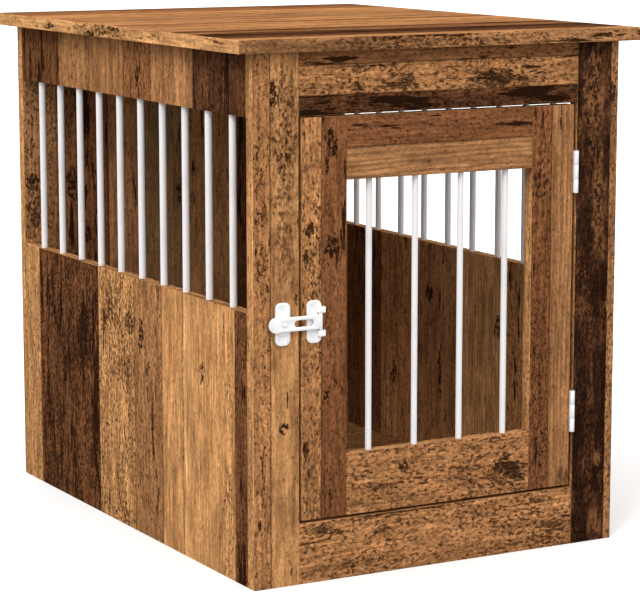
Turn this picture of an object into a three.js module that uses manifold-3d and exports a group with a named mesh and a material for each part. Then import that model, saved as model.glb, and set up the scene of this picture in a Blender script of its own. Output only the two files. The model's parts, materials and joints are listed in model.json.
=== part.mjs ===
// Dog crate end table: a cabinet of 15 mm boards with barred windows, a hinged barred door,
// two butt hinges and a flip latch. Millimetres, +Z up, the front faces -Y. The origin is the
// centre of the table's rectangle, at floor level.
import * as THREE from "three";
import { mergeVertices } from "three/addons/utils/BufferGeometryUtils.js";
import Module from "manifold-3d";

const wasm = await Module();
wasm.setup();

// Table and cabinet
const TOP_WIDTH = 517;
const TOP_DEPTH = 670;
const TOP_THICKNESS = 15;
const TABLE_HEIGHT = 600;
const SIDE_OVERHANG = 22.1;
const FRONT_OVERHANG = 12.6;
const BACK_OVERHANG = 10.2;
const FRAME_THICKNESS = 15;
const SIDE_THICKNESS = 15;
const BACK_THICKNESS = 15;
const FLOOR_THICKNESS = 15;
const FLOOR_CLEARANCE = 15; // from the ground to the floor panel's underside
const SEAM = 0.3; // hairline between two boards, and under a metal fitting

// Front frame and side windows
const FRAME_STILE_WIDTH = 55.7;
const FRAME_TOP_RAIL_HEIGHT = 68.4;
const FRAME_BOTTOM_RAIL_HEIGHT = 68;
const SIDE_PANEL_HEIGHT = 305;
const SIDE_RAIL_HEIGHT = 68.6;

// Door
const DOOR_THICKNESS = 15;
const DOOR_STILE_WIDTH = 55.6;
const DOOR_TOP_RAIL_HEIGHT = 69.5;
const DOOR_BOTTOM_RAIL_HEIGHT = 69.5;
const DOOR_GAP_LATCH_SIDE = 4;
const DOOR_GAP_HINGE_SIDE = 5.1;
const DOOR_GAP_ABOVE = 2.1;
const DOOR_GAP_BELOW = 3.5;

// Round bars
const SIDE_BAR_COUNT = 10;
const SIDE_BAR_DIAMETER = 8;
const SIDE_BAR_INSET = 45.4; // window's end to the first bar's centre
const DOOR_BAR_COUNT = 4;
const DOOR_BAR_DIAMETER = 7;
const DOOR_BAR_INSET = 31.8; // window's end to the first bar's centre
const BAR_SOCKET_DEPTH = 12;
const BAR_CLEARANCE = 0.3;
const BAR_SIDES = 16;

// Butt hinges
const HINGE_HEIGHT = 48;
const HINGE_BARREL_RADIUS = 2.85;
const HINGE_AXIS_FORWARD = 2.5; // from the door's face out to the pin's axis
const HINGE_PIN_RADIUS = 1.2;
const HINGE_PIN_HEAD_RADIUS = 2.2;
const HINGE_PIN_HEAD_HEIGHT = 0.8;
const HINGE_LEAF_THICKNESS = 1.2;
const HINGE_LEAF_REACH = 13.5; // from the door's face back to the leaf's rear edge
const HINGE_CLEARANCE = 0.3;
const HINGE_KNUCKLE_RELIEF = 0.45; // from a barrel to the other leaf's notch
const UPPER_HINGE_FROM_DOOR_TOP = 52.9;
const LOWER_HINGE_FROM_DOOR_BOTTOM = 63.2;
const HINGE_SCREW_FROM_END = 8;
const HINGE_SCREW_BACK = 8; // from the door's face back to the screws

// Countersunk screws
const SCREW_HEAD_RADIUS = 2.5;
const SCREW_HEAD_HEIGHT = 1;
const SCREW_SHANK_RADIUS = 1.3;
const SCREW_LENGTH = 13;
const SCREW_TIP_LENGTH = 2.5;
const SCREW_TIP_RADIUS = 0.4;
const SCREW_CLEARANCE = 0.3;
const SCREW_SIDES = 12;

// Flip latch
const LATCH_HEIGHT_ABOVE_GROUND = 292.6;
const LATCH_PLATE_WIDTH = 17.8;
const LATCH_PLATE_HEIGHT = 47;
const LATCH_PLATE_THICKNESS = 1.8;
const LATCH_PLATE_CORNER_RADIUS = 6.5;
const KEEPER_FROM_OPENING = 20.8; // opening's edge to the keeper's centre line
const DOOR_PLATE_FROM_DOOR_EDGE = 13.8; // door's edge to the door plate's centre line
const KEEPER_PAD_WIDTH = 12;
const KEEPER_PAD_HEIGHT = 24;
const KEEPER_PAD_THICKNESS = 1.2;
const KEEPER_PAD_CORNER_RADIUS = 1.5;
const KEEPER_STUD_RADIUS = 3;
const KEEPER_STUD_STAND = 0.5; // how far the stud's end stands out of the strap
const LATCH_CLEARANCE = 0.3;
const LATCH_PIN_INSET = 1.5; // door plate's edge back to the pin's axis
const EAR_RADIUS = 3;
const EAR_HEIGHT = 6.5;
const EAR_REACH = 4.5; // pin's axis to the ear's square end
const STRAP_BARREL_RADIUS = 2.1;
const STRAP_BARREL_LENGTH = 18.9;
const STRAP_THICKNESS = 2.4;
const STRAP_WIDTH = 15.7;
const STRAP_END_WIDTH = 17.3;
const STRAP_FINGER_REACH = 18.4; // keeper's centre line to the strap's free end
const STRAP_SLOT_LENGTH = 24;
const STRAP_SLOT_HEIGHT = 7.6;
const STRAP_SLOT_FROM_STUD = 12.4; // keeper's centre line to the slot's near end
const LATCH_PIN_RADIUS = 1;
const LATCH_SCREW_FROM_END = 7;
const LATCH_SCREW_RADIUS = 1.5;
const LATCH_SCREW_HEAD_RADIUS = 3;

// Cutting, joining and rounding
const CUT_OVERSHOOT = 1; // how far a cut runs past the face that it opens
const JOIN_OVERLAP = 0.1; // how far one joined shape sinks into the next
const STUD_SIDES = 20;
const STRAP_END_SIDES = 28;
const CORNER_SEGMENTS = 6;

// Places worked out from the sizes above
const bodyHalfWidth = TOP_WIDTH / 2 - SIDE_OVERHANG;
const frontFace = -TOP_DEPTH / 2 + FRONT_OVERHANG;
const backFace = TOP_DEPTH / 2 - BACK_OVERHANG;
const bodyTop = TABLE_HEIGHT - TOP_THICKNESS - SEAM;
const sideFront = frontFace + FRAME_THICKNESS + SEAM;
const sideBack = backFace - BACK_THICKNESS - SEAM;
const sideWindowBottom = SIDE_PANEL_HEIGHT;
const sideWindowTop = bodyTop - SIDE_RAIL_HEIGHT;
const openingHalfWidth = bodyHalfWidth - FRAME_STILE_WIDTH;
const openingTop = bodyTop - FRAME_TOP_RAIL_HEIGHT;
const doorLeft = -openingHalfWidth + DOOR_GAP_LATCH_SIDE;
const doorRight = openingHalfWidth - DOOR_GAP_HINGE_SIDE;
const doorBottom = FRAME_BOTTOM_RAIL_HEIGHT + DOOR_GAP_BELOW;
const doorTop = openingTop - DOOR_GAP_ABOVE;
const doorWindowLeft = doorLeft + DOOR_STILE_WIDTH;
const doorWindowRight = doorRight - DOOR_STILE_WIDTH;
const doorWindowBottom = doorBottom + DOOR_BOTTOM_RAIL_HEIGHT;
const doorWindowTop = doorTop - DOOR_TOP_RAIL_HEIGHT;
const doorSpan = [frontFace, frontFace + DOOR_THICKNESS];
const hingeX = (doorRight + openingHalfWidth) / 2;
const hingeY = frontFace - HINGE_AXIS_FORWARD;

// Materials: [colour, roughness, metalness]
const WOOD_LIGHT = [0xb98a5c, 0.62, 0];
const WOOD_MID = [0xa0744a, 0.65, 0];
const WOOD_DARK = [0x6b4730, 0.7, 0];
const WHITE_BAR = [0xf2f1ee, 0.4, 0.1];
const WHITE_FITTING = [0xf4f2ef, 0.35, 0.1];
const ZINC = [0xb9bcc0, 0.35, 0.9];

// The closed solid of a three.js geometry, for cutting and joining.
function solidOf(geometry) {
  const bare = geometry.clone();
  bare.deleteAttribute("normal");
  bare.deleteAttribute("uv");
  const merged = mergeVertices(bare, 1e-4);
  const mesh = new wasm.Mesh({
    numProp: 3,
    vertProperties: Float32Array.from(merged.attributes.position.array),
    triVerts: Uint32Array.from(merged.index.array),
  });
  return new wasm.Manifold(mesh);
}

// The three.js geometry of a solid.
function geometryOf(solid) {
  const mesh = solid.getMesh();
  const geometry = new THREE.BufferGeometry();
  geometry.setAttribute("position", new THREE.BufferAttribute(mesh.vertProperties, 3));
  geometry.setIndex(new THREE.BufferAttribute(mesh.triVerts, 1));
  geometry.computeVertexNormals();
  return geometry;
}

// One solid from a list of geometries joined, less a list of geometries cut away.
function shaped(joined, cut = []) {
  let solid = solidOf(joined[0]);
  for (const geometry of joined.slice(1)) solid = solid.add(solidOf(geometry));
  for (const geometry of cut) solid = solid.subtract(solidOf(geometry));
  return geometryOf(solid);
}

function block([x0, x1], [y0, y1], [z0, z1]) {
  const geometry = new THREE.BoxGeometry(x1 - x0, y1 - y0, z1 - z0);
  return geometry.translate((x0 + x1) / 2, (y0 + y1) / 2, (z0 + z1) / 2);
}

// An upright round bar or hole from z0 to z1.
function upright(radius, x, y, [z0, z1], sides = BAR_SIDES) {
  const geometry = new THREE.CylinderGeometry(radius, radius, z1 - z0, sides);
  return geometry.rotateX(Math.PI / 2).translate(x, y, (z0 + z1) / 2);
}

// A round boss or hole along Y, from y0 to y1.
function alongY(radius, x, z, [y0, y1], sides = STUD_SIDES) {
  const geometry = new THREE.CylinderGeometry(radius, radius, y1 - y0, sides);
  return geometry.translate(x, (y0 + y1) / 2, z);
}

// A plate parallel to the front, with the outline of a shape drawn in X and Z, from y0 to y1.
function plate(outline, x, z, [y0, y1]) {
  const geometry = new THREE.ExtrudeGeometry(outline, {
    depth: y1 - y0,
    bevelEnabled: false,
    curveSegments: CORNER_SEGMENTS,
  });
  return geometry.rotateX(Math.PI / 2).translate(x, y1, z);
}

function roundedRectangle(width, height, r) {
  const x = width / 2;
  const z = height / 2;
  const shape = new THREE.Shape();
  shape.moveTo(-x + r, -z);
  shape.lineTo(x - r, -z);
  shape.absarc(x - r, -z + r, r, -Math.PI / 2, 0, false);
  shape.lineTo(x, z - r);
  shape.absarc(x - r, z - r, r, 0, Math.PI / 2, false);
  shape.lineTo(-x + r, z);
  shape.absarc(-x + r, z - r, r, Math.PI / 2, Math.PI, false);
  shape.lineTo(-x, -z + r);
  shape.absarc(-x + r, -z + r, r, Math.PI, Math.PI * 1.5, false);
  return shape;
}

// A countersunk screw or its hole, turned about the axis, head at 0 and tip at +length.
// grow widens it all round for a hole, and mouth lengthens it out of the head's side.
function screwProfile({ radius, headRadius, length, tip, tipRadius, grow = 0, mouth = 0 }) {
  const points = [
    [0, -mouth],
    [headRadius + grow, -mouth],
    [headRadius + grow, 0],
    [radius + grow, SCREW_HEAD_HEIGHT],
    [radius + grow, length - tip],
    [tipRadius + grow, length + grow],
    [0, length + grow],
  ];
  const distinct = points.filter(
    (p, i) => i === 0 || p[0] !== points[i - 1][0] || p[1] !== points[i - 1][1],
  );
  return new THREE.LatheGeometry(
    distinct.map(([r, a]) => new THREE.Vector2(r, a)),
    SCREW_SIDES,
  );
}

const table = new THREE.Group();
const cabinet = new THREE.Group();
const door = new THREE.Group();
const latchArm = new THREE.Group();
table.add(cabinet, door);
door.add(latchArm);

function addMesh(group, name, geometry, [color, roughness, metalness], centre = [0, 0, 0]) {
  const material = new THREE.MeshStandardMaterial({ color, roughness, metalness });
  const mesh = new THREE.Mesh(geometry, material);
  mesh.name = name;
  mesh.position.set(...centre);
  group.add(mesh);
}

// A board between three pairs of faces, placed by its centre, with holes given in the part's frame.
function addBoard(group, name, spans, finish, holes = []) {
  const size = spans.map(([low, high]) => high - low);
  const centre = spans.map(([low, high]) => (low + high) / 2);
  const back = centre.map((c) => -c);
  const boardGeometry = new THREE.BoxGeometry(...size);
  const geometry = holes.length
    ? shaped([boardGeometry], holes.map((hole) => hole.clone().translate(...back)))
    : boardGeometry;
  addMesh(group, name, geometry, finish, centre);
}

// Evenly spaced places between two ends, the first and last inset from them.
function spaced(count, low, high, inset) {
  const pitch = (high - low - 2 * inset) / (count - 1);
  return Array.from({ length: count }, (_, i) => low + inset + i * pitch);
}

// A row of bars, and their blind sockets in the board below and the board above.
function barRow(places, diameter, [windowBottom, windowTop]) {
  const radius = diameter / 2;
  const foot = windowBottom - BAR_SOCKET_DEPTH;
  const head = windowTop + BAR_SOCKET_DEPTH;
  const hole = radius + BAR_CLEARANCE;
  return {
    bars: places.map(([x, y]) => [x, y, (head + foot) / 2]),
    bar: upright(radius, 0, 0, [foot + BAR_CLEARANCE, head - BAR_CLEARANCE]).center(),
    lower: places.map(([x, y]) => upright(hole, x, y, [foot, windowBottom + CUT_OVERSHOOT])),
    upper: places.map(([x, y]) => upright(hole, x, y, [windowTop - CUT_OVERSHOOT, head])),
  };
}

function addBars(group, prefix, row) {
  row.bars.forEach((centre, i) => {
    const number = String(i + 1).padStart(2, "0");
    addMesh(group, `${prefix}_${number}`, row.bar.clone(), WHITE_BAR, centre);
  });
}

// Cabinet boards
addBoard(
  cabinet,
  "top_panel",
  [
    [-TOP_WIDTH / 2, TOP_WIDTH / 2],
    [-TOP_DEPTH / 2, TOP_DEPTH / 2],
    [TABLE_HEIGHT - TOP_THICKNESS, TABLE_HEIGHT],
  ],
  WOOD_LIGHT,
);
addBoard(
  cabinet,
  "back_panel",
  [
    [-bodyHalfWidth, bodyHalfWidth],
    [backFace - BACK_THICKNESS, backFace],
    [0, bodyTop],
  ],
  WOOD_MID,
);
const cabinInside = bodyHalfWidth - SIDE_THICKNESS - SEAM;
addBoard(
  cabinet,
  "floor_panel",
  [
    [-cabinInside, cabinInside],
    [sideFront, sideBack],
    [FLOOR_CLEARANCE, FLOOR_CLEARANCE + FLOOR_THICKNESS],
  ],
  WOOD_MID,
);

// Each side: a lower panel, an upper rail and the bars between them.
const barY = spaced(SIDE_BAR_COUNT, sideFront, sideBack, SIDE_BAR_INSET);
for (const [side, sign] of [["left", -1], ["right", 1]]) {
  const faces = [sign * bodyHalfWidth, sign * (bodyHalfWidth - SIDE_THICKNESS)].sort((a, b) => a - b);
  const middle = (faces[0] + faces[1]) / 2;
  const places = barY.map((y) => [middle, y]);
  const row = barRow(places, SIDE_BAR_DIAMETER, [sideWindowBottom, sideWindowTop]);
  addBoard(
    cabinet,
    `${side}_lower_panel`,
    [faces, [sideFront, sideBack], [0, sideWindowBottom]],
    WOOD_LIGHT,
    row.lower,
  );
  addBoard(
    cabinet,
    `${side}_upper_rail`,
    [faces, [sideFront, sideBack], [sideWindowTop, bodyTop]],
    WOOD_MID,
    row.upper,
  );
  addBars(cabinet, `${side}_side_bar`, row);
}

// Front frame
const frameSpan = [frontFace, frontFace + FRAME_THICKNESS];
const railReach = openingHalfWidth - SEAM;
const hinges = [
  ["upper_hinge", doorTop - UPPER_HINGE_FROM_DOOR_TOP - HINGE_HEIGHT],
  ["lower_hinge", doorBottom + LOWER_HINGE_FROM_DOOR_BOTTOM],
];
const screwY = frontFace + HINGE_SCREW_BACK;
const screwHeights = hinges.map(([, foot]) => [
  foot + HINGE_SCREW_FROM_END,
  foot + HINGE_HEIGHT - HINGE_SCREW_FROM_END,
]);
const doorLeafX = [doorRight + SEAM, doorRight + SEAM + HINGE_LEAF_THICKNESS];
const frameLeafX = [openingHalfWidth - SEAM - HINGE_LEAF_THICKNESS, openingHalfWidth - SEAM];

// A hinge screw, or its hole, with its head in the leaf's inner face and its tip in the board.
function hingeScrew(direction, headX, z, room = {}) {
  const geometry = screwProfile({
    radius: SCREW_SHANK_RADIUS,
    headRadius: SCREW_HEAD_RADIUS,
    length: SCREW_LENGTH,
    tip: SCREW_TIP_LENGTH,
    tipRadius: SCREW_TIP_RADIUS,
    ...room,
  });
  return geometry.rotateZ((-direction * Math.PI) / 2).translate(headX, screwY, z);
}
const screwRoom = { grow: SCREW_CLEARANCE, mouth: SCREW_CLEARANCE };
const screwHoles = (direction, headX) =>
  screwHeights.flat().map((z) => hingeScrew(direction, headX, z, screwRoom));
addBoard(
  cabinet,
  "frame_left_stile",
  [[-bodyHalfWidth, -openingHalfWidth], frameSpan, [0, bodyTop]],
  WOOD_LIGHT,
);
addBoard(
  cabinet,
  "frame_right_stile",
  [[openingHalfWidth, bodyHalfWidth], frameSpan, [0, bodyTop]],
  WOOD_DARK,
  screwHoles(1, frameLeafX[0]),
);
addBoard(
  cabinet,
  "frame_top_rail",
  [[-railReach, railReach], frameSpan, [openingTop, bodyTop]],
  WOOD_MID,
);
addBoard(
  cabinet,
  "frame_bottom_rail",
  [[-railReach, railReach], frameSpan, [0, FRAME_BOTTOM_RAIL_HEIGHT]],
  WOOD_LIGHT,
);

// Door boards and bars
const doorBarY = (doorSpan[0] + doorSpan[1]) / 2;
const doorRow = barRow(
  spaced(DOOR_BAR_COUNT, doorWindowLeft, doorWindowRight, DOOR_BAR_INSET).map((x) => [x, doorBarY]),
  DOOR_BAR_DIAMETER,
  [doorWindowBottom, doorWindowTop],
);
const doorRailX = [doorWindowLeft + SEAM, doorWindowRight - SEAM];
addBoard(
  door,
  "door_left_stile",
  [[doorLeft, doorWindowLeft], doorSpan, [doorBottom, doorTop]],
  WOOD_MID,
);
addBoard(
  door,
  "door_right_stile",
  [[doorWindowRight, doorRight], doorSpan, [doorBottom, doorTop]],
  WOOD_LIGHT,
  screwHoles(-1, doorLeafX[1]),
);
addBoard(
  door,
  "door_top_rail",
  [doorRailX, doorSpan, [doorWindowTop, doorTop]],
  WOOD_LIGHT,
  doorRow.upper,
);
addBoard(
  door,
  "door_bottom_rail",
  [doorRailX, doorSpan, [doorBottom, doorWindowBottom]],
  WOOD_MID,
  doorRow.lower,
);
addBars(door, "door_bar", doorRow);

// One leaf of a butt hinge: a flat plate along the board's edge, notched clear of the other
// leaf's knuckles, with its own knuckles rolled round the pin.
function hingeLeaf([x0, x1], foot, knuckles, direction, headX) {
  const rear = frontFace + HINGE_LEAF_REACH;
  const notch = hingeY + HINGE_BARREL_RADIUS + HINGE_KNUCKLE_RELIEF;
  const wrap = hingeY + HINGE_PIN_RADIUS + HINGE_CLEARANCE;
  const flat = block([x0, x1], [notch, rear], [foot, foot + HINGE_HEIGHT]);
  const rolls = knuckles.map((span) => upright(HINGE_BARREL_RADIUS, hingeX, hingeY, span));
  const webs = knuckles.map((span) => block([x0, x1], [wrap, notch + JOIN_OVERLAP], span));
  const bore = upright(HINGE_PIN_RADIUS + HINGE_CLEARANCE, hingeX, hingeY, [
    foot - CUT_OVERSHOOT,
    foot + HINGE_HEIGHT + CUT_OVERSHOOT,
  ]);
  const holes = [HINGE_SCREW_FROM_END, HINGE_HEIGHT - HINGE_SCREW_FROM_END].map((up) =>
    hingeScrew(direction, headX, foot + up, screwRoom),
  );
  return shaped([flat, ...rolls, ...webs], [bore, ...holes]);
}

for (const [name, foot] of hinges) {
  const third = (HINGE_HEIGHT - 2 * HINGE_CLEARANCE) / 3;
  const lowest = [foot, foot + third];
  const middle = [foot + third + HINGE_CLEARANCE, foot + 2 * third + HINGE_CLEARANCE];
  const highest = [foot + 2 * third + 2 * HINGE_CLEARANCE, foot + HINGE_HEIGHT];
  const frameLeaf = hingeLeaf(frameLeafX, foot, [lowest, highest], 1, frameLeafX[0]);
  const doorLeaf = hingeLeaf(doorLeafX, foot, [middle], -1, doorLeafX[1]);
  addMesh(cabinet, `${name}_frame_leaf`, frameLeaf, WHITE_FITTING);
  addMesh(door, `${name}_door_leaf`, doorLeaf, WHITE_FITTING);
  const headFoot = HINGE_HEIGHT + HINGE_CLEARANCE;
  const shank = upright(HINGE_PIN_RADIUS, 0, 0, [0, headFoot + JOIN_OVERLAP]);
  const head = upright(HINGE_PIN_HEAD_RADIUS, 0, 0, [headFoot, headFoot + HINGE_PIN_HEAD_HEIGHT]);
  addMesh(cabinet, `${name}_pin`, shaped([shank, head]), ZINC, [hingeX, hingeY, foot]);
  [foot + HINGE_SCREW_FROM_END, foot + HINGE_HEIGHT - HINGE_SCREW_FROM_END].forEach((z, i) => {
    addMesh(cabinet, `${name}_frame_screw_${i + 1}`, hingeScrew(1, frameLeafX[0], z), ZINC);
    addMesh(door, `${name}_door_screw_${i + 1}`, hingeScrew(-1, doorLeafX[1], z), ZINC);
  });
}

// Flip latch
const latchZ = LATCH_HEIGHT_ABOVE_GROUND;
const keeperX = -openingHalfWidth - KEEPER_FROM_OPENING;
const doorPlateX = doorLeft + DOOR_PLATE_FROM_DOOR_EDGE;
const plateBack = frontFace - SEAM;
const plateFront = plateBack - LATCH_PLATE_THICKNESS;
const padFront = plateFront - KEEPER_PAD_THICKNESS;
const strapBack = padFront - LATCH_CLEARANCE;
const strapFront = strapBack - STRAP_THICKNESS;
const latchPinX = doorPlateX + LATCH_PLATE_WIDTH / 2 - LATCH_PIN_INSET;
const latchPinY = frontFace - SEAM - EAR_RADIUS;
const latchScrewRise = LATCH_PLATE_HEIGHT / 2 - LATCH_SCREW_FROM_END;

// Countersunk holes through a latch plate for its two screws.
function latchPlateHoles(x) {
  const hole = screwProfile({
    radius: LATCH_SCREW_RADIUS,
    headRadius: LATCH_SCREW_HEAD_RADIUS,
    length: LATCH_PLATE_THICKNESS,
    tip: 0,
    tipRadius: LATCH_SCREW_RADIUS,
    grow: SCREW_CLEARANCE,
    mouth: CUT_OVERSHOOT,
  });
  const heights = [latchZ - latchScrewRise, latchZ + latchScrewRise];
  return heights.map((z) => hole.clone().translate(x, plateFront, z));
}
const plateOutline = roundedRectangle(LATCH_PLATE_WIDTH, LATCH_PLATE_HEIGHT, LATCH_PLATE_CORNER_RADIUS);
const padOutline = roundedRectangle(KEEPER_PAD_WIDTH, KEEPER_PAD_HEIGHT, KEEPER_PAD_CORNER_RADIUS);
const studEnd = strapFront - KEEPER_STUD_STAND;
addMesh(
  cabinet,
  "latch_keeper_plate",
  shaped(
    [
      plate(plateOutline, keeperX, latchZ, [plateFront, plateBack]),
      plate(padOutline, keeperX, latchZ, [padFront, plateFront + JOIN_OVERLAP]),
      alongY(KEEPER_STUD_RADIUS, keeperX, latchZ, [studEnd, padFront + JOIN_OVERLAP]),
    ],
    latchPlateHoles(keeperX),
  ),
  WHITE_FITTING,
);

// Door plate: two ears carry the pin and reach past the plate's edge, and the strap's barrel
// turns in a notch between them.
const barrelSpan = [latchZ - STRAP_BARREL_LENGTH / 2, latchZ + STRAP_BARREL_LENGTH / 2];
const earSpans = [
  [barrelSpan[0] - LATCH_CLEARANCE - EAR_HEIGHT, barrelSpan[0] - LATCH_CLEARANCE],
  [barrelSpan[1] + LATCH_CLEARANCE, barrelSpan[1] + LATCH_CLEARANCE + EAR_HEIGHT],
];
const pinHoleSpan = [earSpans[0][0] - CUT_OVERSHOOT, earSpans[1][1] + CUT_OVERSHOOT];
const earDepth = [latchPinY - EAR_RADIUS, latchPinY + EAR_RADIUS];
const strapHeel = latchPinY - strapFront; // the farthest that the strap's end sweeps round the pin
const notch = block(
  [latchPinX - strapHeel - LATCH_CLEARANCE, doorPlateX + LATCH_PLATE_WIDTH / 2 + CUT_OVERSHOOT],
  [plateFront - CUT_OVERSHOOT, plateBack + CUT_OVERSHOOT],
  [earSpans[0][1], earSpans[1][0]],
);
addMesh(
  door,
  "latch_door_plate",
  shaped(
    [
      plate(plateOutline, doorPlateX, latchZ, [plateFront, plateBack]),
      ...earSpans.map((span) => upright(EAR_RADIUS, latchPinX, latchPinY, span)),
      ...earSpans.map((span) => block([latchPinX, latchPinX + EAR_REACH], earDepth, span)),
    ],
    [
      notch,
      upright(LATCH_PIN_RADIUS + LATCH_CLEARANCE, latchPinX, latchPinY, pinHoleSpan),
      ...latchPlateHoles(doorPlateX),
    ],
  ),
  WHITE_FITTING,
);

// Strap: a flat bar with a rounded finger end, a slot, and a hole that takes the keeper's stud.
const strapEndRadius = STRAP_END_WIDTH / 2;
const strapEndX = keeperX - STRAP_FINGER_REACH + strapEndRadius;
const slotX = keeperX + STRAP_SLOT_FROM_STUD + STRAP_SLOT_LENGTH / 2;
const slotOutline = roundedRectangle(STRAP_SLOT_LENGTH, STRAP_SLOT_HEIGHT, STRAP_SLOT_HEIGHT / 2);
const cutSpan = [strapFront - CUT_OVERSHOOT, strapBack + CUT_OVERSHOOT];
const strapEdges = [latchZ - STRAP_WIDTH / 2, latchZ + STRAP_WIDTH / 2];
addMesh(
  latchArm,
  "latch_strap",
  shaped(
    [
      block([strapEndX, latchPinX], [strapFront, strapBack], strapEdges),
      alongY(strapEndRadius, strapEndX, latchZ, [strapFront, strapBack], STRAP_END_SIDES),
      upright(STRAP_BARREL_RADIUS, latchPinX, latchPinY, barrelSpan),
    ],
    [
      plate(slotOutline, slotX, latchZ, cutSpan),
      alongY(KEEPER_STUD_RADIUS + LATCH_CLEARANCE, keeperX, latchZ, cutSpan),
      upright(LATCH_PIN_RADIUS + LATCH_CLEARANCE, latchPinX, latchPinY, pinHoleSpan),
    ],
  ),
  WHITE_FITTING,
);

const pinSpan = [earSpans[0][0], earSpans[1][1]];
addMesh(door, "latch_pin", upright(LATCH_PIN_RADIUS, latchPinX, latchPinY, pinSpan), ZINC);

export default table;
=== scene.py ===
import json
import math
from collections import namedtuple

import bmesh
import bpy
from bpy.props import FloatProperty, FloatVectorProperty, IntProperty, PointerProperty
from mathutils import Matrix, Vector

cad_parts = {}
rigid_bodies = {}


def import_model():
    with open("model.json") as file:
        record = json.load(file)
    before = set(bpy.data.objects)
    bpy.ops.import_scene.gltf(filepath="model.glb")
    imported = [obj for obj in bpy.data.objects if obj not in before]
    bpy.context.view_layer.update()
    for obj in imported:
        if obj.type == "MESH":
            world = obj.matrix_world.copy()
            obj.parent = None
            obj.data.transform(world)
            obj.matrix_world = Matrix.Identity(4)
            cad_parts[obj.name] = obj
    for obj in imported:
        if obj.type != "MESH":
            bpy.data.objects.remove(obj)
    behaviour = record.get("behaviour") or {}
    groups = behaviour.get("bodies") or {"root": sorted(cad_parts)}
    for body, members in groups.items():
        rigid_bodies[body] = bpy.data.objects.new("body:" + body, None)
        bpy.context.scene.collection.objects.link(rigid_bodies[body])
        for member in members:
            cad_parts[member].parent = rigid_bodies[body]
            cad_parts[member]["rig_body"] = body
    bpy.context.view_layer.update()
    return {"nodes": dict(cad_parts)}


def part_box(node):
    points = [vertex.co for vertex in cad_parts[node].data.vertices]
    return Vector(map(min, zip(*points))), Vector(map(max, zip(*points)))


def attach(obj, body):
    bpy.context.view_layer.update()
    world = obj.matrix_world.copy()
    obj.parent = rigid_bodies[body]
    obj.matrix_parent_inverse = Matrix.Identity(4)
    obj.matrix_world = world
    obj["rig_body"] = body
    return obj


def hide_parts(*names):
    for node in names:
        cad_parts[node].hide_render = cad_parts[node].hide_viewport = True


bl_info = {
    "name": "Dog crate end table",
    "version": (1, 0, 0),
    "blender": (4, 5, 0),
    "location": "View3D > Sidebar > Crate table",
    "description": "Dresses the crate table's frame in old wood film, white bars and white fittings",
    "category": "Object",
}

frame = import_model()

MM = 0.001


def screen(red, green, blue):
    """A colour as Blender keeps it, from the red, green and blue that a screen shows, 0 to 255."""
    def channel(value):
        value /= 255
        return value / 12.92 if value <= 0.04045 else ((value + 0.055) / 1.055) ** 2.4
    return channel(red), channel(green), channel(blue)


def colour_property(name, description, rgb):
    return FloatVectorProperty(
        name=name, description=description, default=screen(*rgb),
        subtype="COLOR", size=3, min=0, max=1,
    )


def angle_property(name, description, degrees):
    return FloatProperty(
        name=name, description=description, default=math.radians(degrees), subtype="ANGLE",
    )


def length_property(name, description, millimetres):
    return FloatProperty(
        name=name, description=description, default=millimetres * MM,
        min=0, subtype="DISTANCE", unit="LENGTH", precision=5,
    )


class CrateWood(bpy.types.PropertyGroup):
    """The colours and grain of the printed old wood film."""
    pale: colour_property("Pale", "Palest planks", (190, 140, 91))
    light: colour_property("Light", "Light tan planks", (178, 129, 82))
    tan: colour_property("Tan", "Tan planks", (164, 114, 72))
    brown: colour_property("Brown", "Brown planks, scrapes and bare marks", (131, 87, 54))
    fawn: colour_property("Fawn", "Greyer tan planks", (152, 107, 69))
    red: colour_property("Red", "Reddish brown planks and blotches", (118, 75, 46))
    olive: colour_property("Olive", "Olive brown planks", (126, 96, 64))
    dark: colour_property("Dark", "Dark planks", (104, 66, 40))
    umber: colour_property("Umber", "Darker planks and smudges", (86, 54, 34))
    black: colour_property("Black", "Darkest planks", (50, 30, 20))
    stain: colour_property("Stain", "Streaks, specks and knots", (28, 14, 8))
    fibre_width: length_property("Fibre width", "Width of the finest grain", 3.6)
    fibre_length: length_property("Fibre length", "Length of the finest grain", 70)
    speck_width: length_property("Speck width", "Width of a dark speck", 3.4)
    speck_length: length_property("Speck length", "Length of a dark speck", 5.5)
    ring_pitch: length_property("Ring pitch", "Distance between growth lines", 6)
    ragged_edge: length_property("Ragged edge", "How far a plank's edge wanders", 1.2)
    seam_width: length_property("Seam width", "Width of the dark line between planks", 1.6)


class CrateFinish(bpy.types.PropertyGroup):
    """The painted and plated metal, and how far edges are rounded."""
    bar_paint: colour_property("Bar paint", "White paint of the bars", (216, 213, 212))
    fitting_paint: colour_property("Fitting paint", "White paint of hinges and latch", (226, 225, 225))
    zinc: colour_property("Zinc", "Plated pins and screws", (188, 190, 194))
    board_rounding: length_property("Board rounding", "Rounding of a board's edges", 0.6)
    fitting_rounding: length_property("Fitting rounding", "Rounding of a fitting's edges", 0.35)
    latch_head: length_property("Latch screw head", "Radius of the heads of the latch's screws", 3)
    latch_screw_pitch: length_property("Latch screw pitch", "Distance between a latch plate's screws", 33)
    bar_end: length_property("Bar end", "Chamfer at a bar's ends", 0.6)
    bar_sides: IntProperty(name="Bar sides", description="Faces round a bar", default=32, min=8, max=64)


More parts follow.
